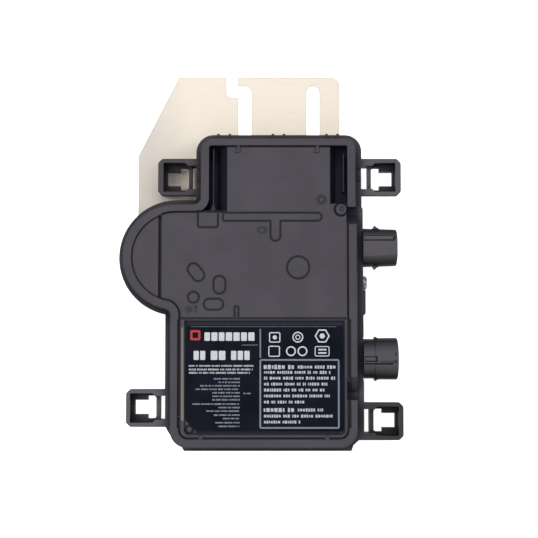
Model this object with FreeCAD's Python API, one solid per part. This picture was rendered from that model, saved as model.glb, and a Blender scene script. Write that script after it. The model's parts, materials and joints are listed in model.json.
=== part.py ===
"""Micro inverter: a potted, solid-state power box that hangs on a rail by its steel plate.

The unit lies on its back.  Z = 0 is the back face of the mounting plate and +Z points at
the label.  +Y points at the plate's hook slot and +X at the two connectors.  The origin is
the bottom centre of the whole unit's bounding box.  All sizes are millimetres.
"""
import FreeCAD, Part
import math
import os
from FreeCAD import Vector

# ---- driving dimensions: case outline, measured at the flange --------------------------
CASE_TOP = 84.0
CASE_BOTTOM = -128.0
UPPER_LEFT = -43.6
SHELL_UPPER_LEFT = -44.2
LOWER_LEFT = -64.0
UPPER_RIGHT = 67.8
LOWER_RIGHT = 68.6
RIGHT_FOOT = 69.1
SHELL_RIGHT_INSET = 0.4
SIDE_STEP_Y = 34.0
TOP_LEFT_RADIUS = 12.0
TOP_RIGHT_RADIUS = 11.0
BULGE_X = -56.3
BULGE_Y = 0.8
BULGE_RADIUS = 38.9
SHELL_BULGE_RADIUS = 39.4
BOTTOM_RADIUS = 16.0
SHELL_DROP = 1.2

# ---- driving dimensions: heights above the plate's back face ---------------------------
PLATE_T = 2.0
FLOOR_T = 2.4
FLOOR_Z = PLATE_T + FLOOR_T
FLANGE_T = 2.5
SPLIT_Z = 22.0
FACE_Z = 31.4
RIM_Z = 32.2
COVER_T = 2.8
BOARD_Z = 8.0
BOARD_T = 1.6
BOARD_TOP = BOARD_Z + BOARD_T
POTTING_Z = 18.0

# ---- driving dimensions: insets from the flange edge ------------------------------------
RIM_OUTER = 4.0
RIM_INNER = 9.8
RIM_INNER_TOP = 8.8
RIM_INNER_NECK = 8.9
GROOVE_W = 1.1
RIM_ROUND = 1.2
FLANGE_ROUND = 0.5
BACK_ROUND = 2.0
CAVITY = 7.4
COVER_CAVITY = 12.0
BOARD_INSET = 10.5
SEAL_OUTER = 4.9
SEAL_INNER = 6.5
SEAL_H = 1.2

# ---- driving dimensions: cover face -----------------------------------------------------
GROOVE_DEPTH = 1.4
LINE_W = 1.2
LINE_DEPTH = 0.8
FINE_W = 0.7
BULGE_LINE = (-67.9, -65.9)
NECK_Y = 31.4
CHANNEL_FLOOR_Z = 17.4
CHANNEL_WALL = 1.8
CHANNEL_TOP_Y = 76.0
CHANNELS = ((-40.0, -22.4, 31.6, -7.0), (58.4, 46.2, 36.2, 4.2))
LABEL_BOX = (-49.6, 54.8, -114.2, -44.9)
LABEL_RADIUS = 1.5
RECESS_BOX = (-50.4, 55.6, -116.4, -41.4)
RECESS_RADIUS = 3.0
LABEL_CORNER = 7.5
CORNER_STOP = (-46.9, -113.0)
CORNER_STOP_D = 3.4
CORNER_POCKET_D = 6.4
BOTTOM_GUTTER = (-42.0, 52.0)
LABEL_RECESS = 1.2
GUTTER_DEPTH = 2.0
LABEL_T = 0.3
LABEL_LINE = (-52.8, 56.6, -40.6, -39.4)
LEDGE_GROOVES = ((-55.0, -53.0), (57.4, 59.6))
LEDGE_GROOVE_FOOT = -112.0
DIP_X = (57.0, 66.0)
DIP_DEPTH = 8.0
DIPS = ((34.0, 29.4, 22.4), (-93.6, -89.0, -78.5))
BOSS = (53.4, 32.4)
BOSS_D = 7.0
BOSS_GROOVE_D = 9.6
BOSS_DIMPLE_D = 3.2
TAB_H = 0.6
TAB_XS = (-15.6, 37.0)

# ---- driving dimensions: lugs -----------------------------------------------------------
LUG_HALF = 12.6
LUG_CHAMFER = 2.8
LUG_CORNER_ROUND = 2.4
LUG_DRAFT = 1.4
LUG_BACK_Z = 7.0
LUG_FLOOR_Z = 13.0
LUG_BAR_Z = 18.5
LUG_SLOT_START = -0.2
LUG_SLOT_HALF = 8.0
LUG_POCKET_HALF = 9.8
HOLE_LENGTH = 15.0
HOLE_WIDE_LENGTH = 6.2
HOLE_WIDE_HALF = 7.7
HOLE_NARROW_HALF = 4.9
POCKET_CHAMFER = 2.4
HOLE_CHAMFER = 1.8
# each lug: wall X, centre Y, reach, side, far end of its slot, start of its hole, end wall
LUGS = (
    (UPPER_RIGHT, 55.25, 26.65, 1, 4.6, 6.7, 3.75),
    (UPPER_LEFT, 55.25, 25.7, -1, 3.2, 5.1, 3.6),
    (LOWER_LEFT, -99.5, 25.9, -1, 3.5, 5.9, 2.7),
    (RIGHT_FOOT, -108.3, 26.1, 1, 3.75, 6.35, 3.2),
)

# ---- driving dimensions: mounting plate -------------------------------------------------
PLATE_LEFT = -84.8
PLATE_RIGHT = 54.5
PLATE_TOP = 128.0
PLATE_BOTTOM = -20.0
PLATE_SLANT_X = -57.0
PLATE_SLANT_Y = 73.0
PLATE_TOP_RADIUS = 6.5
PLATE_FOOT_RADIUS = 4.0
SLOT_W = 8.8
SLOT_CEILING = 121.8
SLOT_BOTTOM = 66.0
HOOK_SLOT_X = -11.2
RAIL_SLOT_X = 36.0
ENTRY_X = (-23.9, -16.5)
ENTRY_FLOOR = 113.9
ENTRY_RADIUS = 3.4
HEAD_TIP = 0.2
PLATE_SCREWS = ((-66.0, 20.0), (-66.0, -10.0), (46.0, 44.0), (46.0, -10.0))
PLATE_SCREW_D = 4.0
PLATE_SCREW_HEAD_D = 7.6

# ---- driving dimensions: connectors -----------------------------------------------------
CONNECTOR_Z = 15.0
AC_Y = 8.0
DC_Y = -66.9
PAD_HALF = 14.5
NECK_X = 58.4
SOCKET_X = 71.2
MOUTH_X = 83.0
MOUTH_STEP = 1.2
MOUTH_CHAMFER = 0.5
AC_END_X = 91.5
DC_END_X = 91.6
AC_ROOT_R = 13.1
AC_TIP_R = 12.45
AC_FLAT = 11.3
DC_ROOT_R = 13.3
DC_TIP_R = 14.1
DC_STEP_X = 76.5
BARB_W = 7.0
BARB_REACH = 15.0
PIN_TIP_X = 82.0
AC_SOCKET_D = 18.8
DC_SOCKET_D = 21.6
NECK_D = 11.0
CARRIER_D = 9.2
SEAL_RING_D = 13.0
PIN_D = 2.2

# ---- driving dimensions: inside ---------------------------------------------------------
BOARD_SCREWS = ((-32.0, 62.0), (54.0, 62.0), (-80.0, 0.0), (-50.0, -108.0), (50.0, -108.0))
BOARD_SCREW_D = 3.0
CAPACITOR_D = 16.0
CAPACITOR_L = 25.0
STATUS_Y = -15.9
STATUS_Z = 12.5
STEM_D = 5.0
LENS_D = 9.4
LENS_H = 3.1
LENS_ROUND = 1.6

OVER = 1.0
Z_AXIS = Vector(0, 0, 1)
X_AXIS = Vector(1, 0, 0)
Y_AXIS = Vector(0, 1, 0)


# ---- small shape helpers ----------------------------------------------------------------
def box(x0, x1, y0, y1, z0, z1):
    """Box between two corners."""
    return Part.makeBox(x1 - x0, y1 - y0, z1 - z0, Vector(x0, y0, z0))


def rounded_box(x0, x1, y0, y1, z0, z1, radius):
    """Box with its four upright edges rounded."""
    solid = box(x0, x1, y0, y1, z0, z1)
    upright = [e for e in solid.Edges if abs(e.tangentAt(e.FirstParameter).z) > 0.9]
    return solid.makeFillet(radius, upright)


def post(x, y, z0, z1, diameter):
    """Upright cylinder."""
    return Part.makeCylinder(diameter / 2, z1 - z0, Vector(x, y, z0), Z_AXIS)


def rod(x0, x1, y, z, diameter):
    """Cylinder along X."""
    return Part.makeCylinder(diameter / 2, x1 - x0, Vector(x0, y, z), X_AXIS)


def prism(points, z0, z1):
    """Upright prism over a polygon in plan."""
    corners = [Vector(x, y, z0) for x, y in points]
    wire = Part.makePolygon(corners + corners[:1])
    return Part.Face(wire).extrude(Vector(0, 0, z1 - z0))


def stadium(x, y, length, width, angle=0.0):
    """Flat face with two straight sides and round ends, centred on x, y."""
    reach = (length - width) / 2
    radius = width / 2
    edges = chain([(-reach, radius), (reach, radius)])
    edges.append(arc_through((reach, radius), (reach + radius, 0), (reach, -radius)))
    edges += chain([(reach, -radius), (-reach, -radius)])
    edges.append(arc_through((-reach, -radius), (-reach - radius, 0), (-reach, radius)))
    face = Part.Face(Part.Wire(edges))
    face.rotate(Vector(0, 0, 0), Z_AXIS, angle)
    face.translate(Vector(x, y, 0))
    return face


def lift(face, z0, z1):
    """Extrude a face drawn at Z = 0 between two heights."""
    moved = face.copy()
    moved.translate(Vector(0, 0, z0))
    return moved.extrude(Vector(0, 0, z1 - z0))


def engraved(face):
    """Cutter for a thin line along a face's outer boundary, sunk in the cover face."""
    outer = face.makeOffset2D(LINE_W / 2, join=0)
    inner = face.makeOffset2D(-LINE_W / 2, join=0)
    top = FACE_Z + OVER
    bottom = FACE_Z - LINE_DEPTH
    return lift(outer, bottom, top).cut(lift(inner, bottom, top))


def fused(shapes):
    """Union of several solids as one clean solid."""
    shapes = list(shapes)
    return shapes[0].multiFuse(shapes[1:]).removeSplitter()


def flat_face_at(solid, z):
    """The largest flat face of a solid at one height."""
    faces = [f for f in solid.Faces if f.BoundBox.ZLength < 1e-4 and abs(f.CenterOfMass.z - z) < 1e-4]
    return max(faces, key=lambda f: f.Area)


def rounded_rim(solid, z, radius):
    """Round the outer edge of the flat face at one height."""
    return solid.makeFillet(radius, flat_face_at(solid, z).OuterWire.Edges)


# ---- case outline -----------------------------------------------------------------------
def arc_through(start, middle, end):
    """Arc edge through three plan points."""
    return Part.Arc(Vector(*start, 0), Vector(*middle, 0), Vector(*end, 0)).toShape()


def corner_arc(x, y, radius, start, end):
    """Quarter arc about a centre, from one angle to another in degrees."""
    points = []
    for angle in (start, (start + end) / 2, end):
        turn = math.radians(angle)
        points.append((x + radius * math.cos(turn), y + radius * math.sin(turn)))
    return arc_through(*points)


def chain(points):
    """Straight edges through plan points."""
    ends = [Vector(x, y, 0) for x, y in points]
    return [Part.LineSegment(a, b).toShape() for a, b in zip(ends, ends[1:])]


def outline(bottom, upper_left, bulge_radius, right_inset):
    """Case outline from its top edge round to the bulge, closed by the given bottom edges."""
    upper_right, lower_right = UPPER_RIGHT - right_inset, LOWER_RIGHT - right_inset
    bulge_foot = BULGE_Y - math.sqrt(bulge_radius ** 2 - (LOWER_LEFT - BULGE_X) ** 2)
    bulge_top = BULGE_Y + bulge_radius
    top_left = (upper_left + TOP_LEFT_RADIUS, CASE_TOP - TOP_LEFT_RADIUS)
    top_right = (upper_right - TOP_RIGHT_RADIUS, CASE_TOP - TOP_RIGHT_RADIUS)
    right_end = bottom[0].Vertexes[0].Point
    left_end = bottom[-1].Vertexes[-1].Point
    edges = chain([(top_left[0], CASE_TOP), (top_right[0], CASE_TOP)])
    edges.append(corner_arc(*top_right, TOP_RIGHT_RADIUS, 90, 0))
    edges += chain([
        (upper_right, top_right[1]),
        (upper_right, SIDE_STEP_Y + 1.0),
        (lower_right, SIDE_STEP_Y),
        (right_end.x, right_end.y),
    ])
    edges += bottom
    edges += chain([(left_end.x, left_end.y), (LOWER_LEFT, bulge_foot)])
    edges.append(arc_through(
        (LOWER_LEFT, bulge_foot),
        (BULGE_X - bulge_radius, BULGE_Y),
        (BULGE_X, bulge_top),
    ))
    edges += chain([(BULGE_X, bulge_top), (upper_left, bulge_top), (upper_left, top_left[1])])
    edges.append(corner_arc(*top_left, TOP_LEFT_RADIUS, 180, 90))
    return Part.Face(Part.Wire(Part.sortEdges(edges)[0]))


def flange_face():
    """Outline of the flange, with cut-back bottom corners."""
    corner_end = (LOWER_LEFT + 10.8, CASE_BOTTOM + 3.4)
    bottom = chain([
        (RIGHT_FOOT, CASE_BOTTOM + 10.0),
        (RIGHT_FOOT - 3.4, CASE_BOTTOM + 7.4),
        (RIGHT_FOOT - 7.4, CASE_BOTTOM + 3.7),
        (RIGHT_FOOT - 8.6, CASE_BOTTOM),
        (LOWER_LEFT + 12.9, CASE_BOTTOM),
        corner_end,
    ])
    corner_start = (LOWER_LEFT, CASE_BOTTOM + 17.5)
    bottom.append(arc_through(corner_end, (LOWER_LEFT + 4.9, CASE_BOTTOM + 8.9), corner_start))
    return outline(bottom, UPPER_LEFT, BULGE_RADIUS, 0.0)


def shell_face():
    """Outline that the walls are set in from: plain round bottom corners."""
    foot = CASE_BOTTOM - SHELL_DROP
    radius = BOTTOM_RADIUS
    right = (LOWER_RIGHT - SHELL_RIGHT_INSET - radius, foot + radius)
    left = (LOWER_LEFT + radius, foot + radius)
    bottom = [corner_arc(*right, radius, 0, -90)]
    bottom += chain([(right[0], foot), (left[0], foot)])
    bottom.append(corner_arc(*left, radius, -90, -180))
    return outline(bottom, SHELL_UPPER_LEFT, SHELL_BULGE_RADIUS, SHELL_RIGHT_INSET)


FLANGE = flange_face()
SHELL = shell_face()


def layer(inset, z0, z1):
    """Shell outline pulled in by inset and extruded between two heights."""
    return lift(SHELL.makeOffset2D(-inset, join=0), z0, z1)


# ---- cover ------------------------------------------------------------------------------
def sunken_face(extra, z0, z1):
    """Block over the sunken face, whose rim is narrower at the top and above the bulge."""
    left = SHELL_UPPER_LEFT + RIM_INNER + extra
    right = UPPER_RIGHT - SHELL_RIGHT_INSET - RIM_INNER - extra
    main = layer(RIM_INNER + extra, z0, z1)
    top = layer(RIM_INNER_TOP + extra, z0, z1).common(box(left, right, 60, 100, z0, z1))
    neck = layer(RIM_INNER_NECK + extra, z0, z1).common(box(BULGE_LINE[1], left, 10, NECK_Y, z0, z1))
    return fused([main, top, neck])


def rim_grooves():
    """Groove along the rim: deep on the right of the bulge line, fine on its left."""
    low, high = FACE_Z - 2 * OVER, RIM_Z + 2 * OVER
    deep = sunken_face(0, FACE_Z - GROOVE_DEPTH, RIM_Z + OVER).cut(sunken_face(GROOVE_W, low, high))
    fine = sunken_face(0, FACE_Z - LINE_DEPTH, RIM_Z + OVER).cut(sunken_face(FINE_W, low, high))
    left_of_line = box(-100, BULGE_LINE[0], -50, 50, low, high)
    return [deep.cut(left_of_line), fine.common(left_of_line)]


def channel_cutters():
    """Two deep channels beside the upper plateau, each with one side sloped towards it."""
    within_rim = sunken_face(0, CHANNEL_FLOOR_Z, RIM_Z + OVER)
    cutters = []
    for x_rim, x_plateau, y0, slope in CHANNELS:
        x0, x1 = sorted((x_rim, x_plateau))
        corners = [
            Vector(x_plateau + slope, y0 - OVER, CHANNEL_FLOOR_Z),
            Vector(x_plateau, y0 - OVER, CHANNEL_FLOOR_Z),
            Vector(x_plateau, y0 - OVER, FACE_Z - 1.2),
        ]
        wedge = Part.Face(Part.makePolygon(corners + corners[:1])).extrude(Vector(0, 60.0, 0))
        channel = box(x0, x1, y0, CHANNEL_TOP_Y, CHANNEL_FLOOR_Z, RIM_Z + OVER)
        cutters.append(channel.common(within_rim).cut(wedge))
    return cutters


def channel_shells():
    """Solid blocks that give the channels their walls and floors below the cover."""
    bottom = CHANNEL_FLOOR_Z - CHANNEL_WALL
    within_housing = layer(CAVITY + 0.3, bottom, FACE_Z - OVER)
    shells = []
    for x_rim, x_plateau, y0, slope in CHANNELS:
        grow = math.copysign(CHANNEL_WALL, x_plateau - x_rim)
        x0, x1 = sorted((x_rim - grow, x_plateau + grow))
        block = box(x0, x1, y0 - CHANNEL_WALL, CHANNEL_TOP_Y + CHANNEL_WALL, bottom, FACE_Z - OVER)
        shells.append(block.common(within_housing))
    return shells


def channel_ribs():
    """Thin stiffening ribs that stand in the channels, just below the face."""
    low, high = CHANNEL_FLOOR_Z, FACE_Z - 1.6
    left = box(-31.8, -31.0, 31.6, 73.0, low, high)
    foot = prism([(-33.6, 31.6), (-30.0, 31.6), (-31.0, 36.4), (-31.8, 36.4)], low, high)
    right = box(54.7, 55.5, 44.5, 69.5, low, high)
    return [left, foot, right]


def side_dips():
    """Two dips in the right-hand rim, each with one steep end and one ramp."""
    x0, x1 = DIP_X
    top = RIM_Z + OVER
    deep = RIM_Z - DIP_DEPTH
    dips = []
    for steep, foot, ramp_end in DIPS:
        points = ((steep, top), (steep, deep), (foot, deep), (ramp_end, RIM_Z), (ramp_end, top))
        corners = [Vector(x0, y, z) for y, z in points]
        dips.append(Part.Face(Part.makePolygon(corners + corners[:1])).extrude(Vector(x1 - x0, 0, 0)))
    return dips


def tee_outline():
    """T-shaped outline: a long bar with a round right end and a short stem."""
    bar = rounded_box(-25.1, 30.0, 24.8, 30.2, 0, 1, 1.2)
    end = lift(stadium(25.0, 27.5, 31.0, 5.4), 0, 1)
    stem = lift(stadium(9.8, 20.0, 17.0, 6.6, 90), 0, 1)
    solid = fused([bar, end, stem])
    return lowest_face(solid)


def lowest_face(solid):
    """The flat underside of a solid that stands on Z = 0."""
    return min(solid.Faces, key=lambda f: f.CenterOfMass.z)


def face_lines():
    """Cutters for the thin moulded lines in the cover face."""
    rectangle = lowest_face(rounded_box(-41.7, -28.4, 20.5, 34.0, 0, 1, 1.6))
    notch = lowest_face(rounded_box(-17.3, -14.7, -41.0, -32.0, 0, 1, 0.7))
    circle = Part.Face(Part.Wire(Part.makeCircle(7.4, Vector(24.9, -6.2, 0))))
    dot = Part.Face(Part.Wire(Part.makeCircle(3.6, Vector(-44.5, -26.0, 0))))
    outlines = [
        rectangle.common(box(-43.0, -27.0, 19.0, 31.3, -1, 1)).Faces[0],
        notch.common(box(-19.0, -13.0, -39.9, -31.0, -1, 1)).Faces[0],
        tee_outline(),
        circle,
        dot,
        stadium(-42.9, -9.4, 12.8, 8.0, -52.0),
        stadium(-27.3, -17.7, 11.8, 7.9, 90.0),
        stadium(-31.2, -30.6, 12.9, 7.3, 0.0),
    ]
    return [engraved(face) for face in outlines]


def straight_lines():
    """Cutters for the straight grooves of the face, the label's two gutters and its corner pocket."""
    top = FACE_Z + OVER
    deep = FACE_Z - GROOVE_DEPTH
    gutter = FACE_Z - GUTTER_DEPTH
    x0, x1, foot, head = RECESS_BOX
    cutters = [
        box(*BULGE_LINE, -26.6, 28.6, gutter, top),
        box(-46.0, -22.4, NECK_Y - GROOVE_W, NECK_Y, deep, top),
        box(*LABEL_LINE, FACE_Z - LINE_DEPTH, top),
        box(x0, x1, LABEL_BOX[3], head, gutter, top),
        box(*BOTTOM_GUTTER, foot, LABEL_BOX[2], gutter, top),
        post(*CORNER_STOP, gutter, top, CORNER_POCKET_D),
    ]
    cutters += [box(*sides, LEDGE_GROOVE_FOOT, LABEL_LINE[2], deep, top) for sides in LEDGE_GROOVES]
    return cutters


def round_boss():
    """Low round boss with a ring groove and a centre dimple at the foot of the right channel."""
    x, y = BOSS
    ring = post(x, y, FACE_Z - GROOVE_DEPTH, RIM_Z + OVER, BOSS_GROOVE_D)
    boss = post(x, y, FACE_Z - COVER_T, FACE_Z + 0.5, BOSS_D)
    dimple = post(x + 0.6, y + 0.4, FACE_Z - 0.3, RIM_Z + OVER, BOSS_DIMPLE_D)
    return ring.cut(post(x, y, FACE_Z - COVER_T, RIM_Z + 2 * OVER, BOSS_D)), boss.cut(dimple)


def cover_tabs():
    """Small L tabs under the top rim, round stops at the bottom rim and a rib at the left."""
    tabs = [post(x, -118.6, FACE_Z - COVER_T, FACE_Z + 0.5, 3.0) for x in (-39.5, 43.9)]
    tabs.append(post(*CORNER_STOP, FACE_Z - COVER_T, FACE_Z - 0.2, CORNER_STOP_D))
    tabs.append(box(-55.0, -52.8, -104.8, -104.2, FACE_Z - COVER_T, FACE_Z + 0.4))
    for x in TAB_XS:
        tabs.append(box(x - 1.6, x + 1.6, 70.6, 71.8, FACE_Z - OVER, FACE_Z + TAB_H))
        tabs.append(box(x, x + 1.6, 71.8, 75.6, FACE_Z - OVER, FACE_Z + TAB_H))
    return tabs


def make_front_cover():
    """Moulded front cover: rim, sunk face, channels, label recess and hollow back."""
    body = layer(RIM_OUTER, SPLIT_Z, RIM_Z)
    body = rounded_rim(body, RIM_Z, RIM_ROUND).cut(sunken_face(0, FACE_Z, RIM_Z + OVER))
    body = body.cut(layer(CAVITY, SPLIT_Z - OVER, SPLIT_Z + 1.6))
    body = body.cut(layer(COVER_CAVITY, SPLIT_Z, FACE_Z - COVER_T))
    body = fused([body] + channel_shells())
    grooves = rim_grooves()
    ring_groove, boss = round_boss()
    recess = rounded_box(*RECESS_BOX, FACE_Z - LABEL_RECESS, RIM_Z + OVER, RECESS_RADIUS)
    for cutter in grooves + [recess, ring_groove] + channel_cutters() + side_dips():
        body = body.cut(cutter)
    for cutter in straight_lines() + face_lines():
        body = body.cut(cutter)
    return fused([body, boss] + channel_ribs() + cover_tabs())


# ---- rear housing -----------------------------------------------------------------------
def make_lug(wall_x, centre_y, reach, side, slot_end, start, end_wall):
    """Hollow strap lug, narrower at its back: a low bar at the case, then a pocket with a T hole."""
    def local(u0, u1, half, z0, z1):
        x0, x1 = sorted((wall_x + side * u0, wall_x + side * u1))
        return box(x0, x1, centre_y - half, centre_y + half, z0, z1)

    def local_prism(points, z0, z1):
        return prism([(wall_x + side * u, centre_y + v) for u, v in points], z0, z1)

    cut = LUG_CHAMFER
    root = 6.0
    body = local_prism([
        (-root, -LUG_HALF), (reach - cut, -LUG_HALF), (reach, -LUG_HALF + cut),
        (reach, LUG_HALF - cut), (reach - cut, LUG_HALF), (-root, LUG_HALF),
    ], LUG_BACK_Z, SPLIT_Z)
    body = body.makeFillet(LUG_CORNER_ROUND, outer_uprights(body, wall_x + side * (reach - cut), side))
    for direction in (-1, 1):
        body = body.cut(lug_draft(wall_x, centre_y, direction, reach))
    body = rounded_rim(body, SPLIT_Z, FLANGE_ROUND)
    end = reach - end_wall
    half = LUG_POCKET_HALF
    pocket = local_prism([
        (start + POCKET_CHAMFER, -half), (end, -half), (end, half), (start + POCKET_CHAMFER, half),
        (start, half - POCKET_CHAMFER), (start, POCKET_CHAMFER - half),
    ], LUG_FLOOR_Z, SPLIT_Z + OVER)
    over_bar = local(slot_end - OVER, start + OVER, LUG_SLOT_HALF - 0.2, LUG_BAR_Z, SPLIT_Z + OVER)
    wide = HOLE_WIDE_HALF
    wide_end = start + HOLE_WIDE_LENGTH
    wide_hole = local_prism([
        (start + HOLE_CHAMFER, -wide), (wide_end, -wide), (wide_end, wide), (start + HOLE_CHAMFER, wide),
        (start, wide - HOLE_CHAMFER), (start, HOLE_CHAMFER - wide),
    ], LUG_BACK_Z - OVER, SPLIT_Z)
    far_end = start + HOLE_LENGTH
    narrow_hole = local(wide_end - OVER, far_end, HOLE_NARROW_HALF, LUG_BACK_Z - OVER, SPLIT_Z)
    for cutter in (pocket, over_bar, wide_hole, narrow_hole):
        body = body.cut(cutter)
    return body


def lug_draft(wall_x, centre_y, direction, reach):
    """Wedge that slopes one side wall of a lug inwards, from the flange down to the back."""
    edge = centre_y + direction * LUG_HALF
    top = SPLIT_Z - FLANGE_T
    back = LUG_BACK_Z - OVER
    outside = edge + direction
    points = ((edge, top), (edge - direction * LUG_DRAFT, back), (outside, back), (outside, top))
    corners = [Vector(wall_x - 2 * reach, y, z) for y, z in points]
    return Part.Face(Part.makePolygon(corners + corners[:1])).extrude(Vector(4 * reach, 0, 0))


def outer_uprights(solid, x_limit, side):
    """Upright edges at or beyond one X, on the given side."""
    edges = []
    for edge in solid.Edges:
        a, b = edge.Vertexes[0].Point, edge.Vertexes[-1].Point
        if abs(a.z - b.z) > OVER and side * (a.x - x_limit) > -0.01:
            edges.append(edge)
    return edges


def ledge_ribs():
    """Small locating ribs on the flange ledge and teeth on its top edge."""
    ribs = []
    low, high = SPLIT_Z - FLANGE_T, SPLIT_Z + 1.2
    for y in (54.0, 62.0):
        ribs.append(box(UPPER_LEFT + 0.3, SHELL_UPPER_LEFT + 3.8, y - 0.45, y + 0.45, low + OVER, high))
        ribs.append(box(UPPER_RIGHT - 3.8, UPPER_RIGHT - 0.3, y - 0.45, y + 0.45, low + OVER, high))
    for x in (-28.7, -21.0, 8.2, 15.6, 44.4, 51.8):
        ribs.append(box(x - 0.8, x + 0.8, CASE_TOP - 2.0, CASE_TOP + 0.7, low, SPLIT_Z + 0.4))
    for x in (-41.0, -24.0, 33.0, 47.0):
        edge = CASE_BOTTOM
        ribs.append(box(x - 1.2, x + 1.2, edge + 0.3, edge + 1.7, low + OVER, SPLIT_Z + 0.6))
    return ribs


def connector_pad(y):
    """Thick wall pad that carries one connector."""
    return box(58.0, LOWER_RIGHT, y - PAD_HALF, y + PAD_HALF, FLOOR_Z - OVER, SPLIT_Z - 0.5)


def connector_relief(y):
    """Cutter that trims the flange flush with the face of a connector's pad."""
    return box(LOWER_RIGHT, LOWER_RIGHT + OVER, y - PAD_HALF, y + PAD_HALF, FLOOR_Z, SPLIT_Z + OVER)


def lens_guard():
    """Raised block beside the status light with a chamfered lower end."""
    corners = [(64.0, -20.9), (70.4, -20.9), (70.4, -36.5), (67.6, -39.2), (64.0, -39.2)]
    return prism(corners, 8.0, SPLIT_Z - 1.0)


def make_rear_housing():
    """Deep rear shell with flange, four lugs, connector pads, bosses and rest pads."""
    walls = rounded_rim(layer(RIM_OUTER, PLATE_T, SPLIT_Z), PLATE_T, BACK_ROUND)
    flange = rounded_rim(lift(FLANGE, SPLIT_Z - FLANGE_T, SPLIT_Z), SPLIT_Z, FLANGE_ROUND)
    lugs = []
    slots = []
    for wall_x, centre_y, reach, side, slot_end, start, end_wall in LUGS:
        lugs.append(make_lug(wall_x, centre_y, reach, side, slot_end, start, end_wall))
        slots.append(lug_slot(wall_x, centre_y, side, slot_end))
    pads = [connector_pad(AC_Y), connector_pad(DC_Y), lens_guard()]
    rests = [rounded_box(x - 12.0, x + 12.0, -118.0, -106.0, 0, PLATE_T, 3.0) for x in (-34.0, 40.0)]
    shell = fused([walls, flange] + lugs + pads + rests + ledge_ribs())
    shell = shell.cut(layer(CAVITY, FLOOR_Z, SPLIT_Z + 2 * OVER))
    seal_seat = layer(SEAL_OUTER, SPLIT_Z - SEAL_H, SPLIT_Z + OVER)
    shell = shell.cut(seal_seat.cut(layer(SEAL_INNER, SPLIT_Z - 2 * SEAL_H, SPLIT_Z + 2 * OVER)))
    plate_bosses = [post(x, y, FLOOR_Z - OVER, BOARD_Z - 1.0, 9.0) for x, y in PLATE_SCREWS]
    board_bosses = [post(x, y, FLOOR_Z - OVER, BOARD_Z, 7.0) for x, y in BOARD_SCREWS]
    shell = fused([shell] + plate_bosses + board_bosses)
    holes = [post(x, y, PLATE_T - OVER, BOARD_Z - 1.8, PLATE_SCREW_D) for x, y in PLATE_SCREWS]
    holes += [post(x, y, FLOOR_Z, BOARD_Z + OVER, BOARD_SCREW_D) for x, y in BOARD_SCREWS]
    holes += [rod(50.0, 72.0, y, CONNECTOR_Z, NECK_D) for y in (AC_Y, DC_Y)]
    holes += [seal_ring_seat(y) for y in (AC_Y, DC_Y)]
    holes += [connector_relief(y) for y in (AC_Y, DC_Y)]
    holes.append(rod(50.0, 72.0, STATUS_Y, STATUS_Z, STEM_D))
    for cutter in slots + holes:
        shell = shell.cut(cutter)
    return shell


def lug_slot(wall_x, centre_y, side, slot_end):
    """Through slot between a lug's bar and the case wall."""
    x0, x1 = sorted((wall_x + side * LUG_SLOT_START, wall_x + side * slot_end))
    y0, y1 = centre_y - LUG_SLOT_HALF, centre_y + LUG_SLOT_HALF
    return box(x0, x1, y0, y1, LUG_BACK_Z - OVER, SPLIT_Z + OVER)


def seal_ring_seat(y):
    """Counterbore in the connector pad for its seal ring."""
    return rod(LOWER_RIGHT - 2.0, LOWER_RIGHT + OVER, y, CONNECTOR_Z, SEAL_RING_D)


def make_cover_seal():
    """Seal bead in the joint between housing and cover."""
    bead = layer(SEAL_OUTER, SPLIT_Z - SEAL_H, SPLIT_Z)
    return bead.cut(layer(SEAL_INNER, SPLIT_Z - 2 * SEAL_H, SPLIT_Z + OVER))


# ---- mounting plate ---------------------------------------------------------------------
def make_mounting_plate():
    """Flat steel plate with an open hook slot, a closed slot and four flush screw holes."""
    plate = prism([
        (PLATE_LEFT, PLATE_BOTTOM), (PLATE_RIGHT, PLATE_BOTTOM), (PLATE_RIGHT, PLATE_TOP),
        (PLATE_SLANT_X, PLATE_TOP), (PLATE_LEFT, PLATE_SLANT_Y),
    ], 0, PLATE_T)
    corners = (
        (PLATE_RIGHT, PLATE_TOP, PLATE_TOP_RADIUS),
        (PLATE_RIGHT, PLATE_BOTTOM, PLATE_FOOT_RADIUS),
        (PLATE_LEFT, PLATE_BOTTOM, PLATE_FOOT_RADIUS),
    )
    for x, y, radius in corners:
        plate = plate.makeFillet(radius, [e for e in plate.Edges if at_corner(e, x, y)])
    for x in (HOOK_SLOT_X, RAIL_SLOT_X):
        length = SLOT_CEILING - SLOT_BOTTOM
        middle = (SLOT_CEILING + SLOT_BOTTOM) / 2
        plate = plate.cut(lift(stadium(x, middle, length, SLOT_W, 90), -OVER, PLATE_T + OVER))
    low, high = -OVER, PLATE_T + OVER
    entry = box(*ENTRY_X, ENTRY_FLOOR + ENTRY_RADIUS, PLATE_TOP + OVER, low, high)
    throat = rounded_box(ENTRY_X[0], HOOK_SLOT_X, ENTRY_FLOOR, SLOT_CEILING, low, high, ENTRY_RADIUS)
    square_top = box(ENTRY_X[1], HOOK_SLOT_X, ENTRY_FLOOR + ENTRY_RADIUS, SLOT_CEILING, low, high)
    for cutter in (entry, throat, square_top):
        plate = plate.cut(cutter)
    for x, y in PLATE_SCREWS:
        plate = plate.cut(screw_head_cone(x, y)).cut(post(x, y, -OVER, PLATE_T + OVER, PLATE_SCREW_D))
    return plate


def at_corner(edge, x, y):
    """True for an upright edge that stands at x, y."""
    a, b = edge.Vertexes[0].Point, edge.Vertexes[-1].Point
    upright = abs(a.z - b.z) > 0.1
    return upright and abs(a.x - x) < 0.01 and abs(a.y - y) < 0.01


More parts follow.
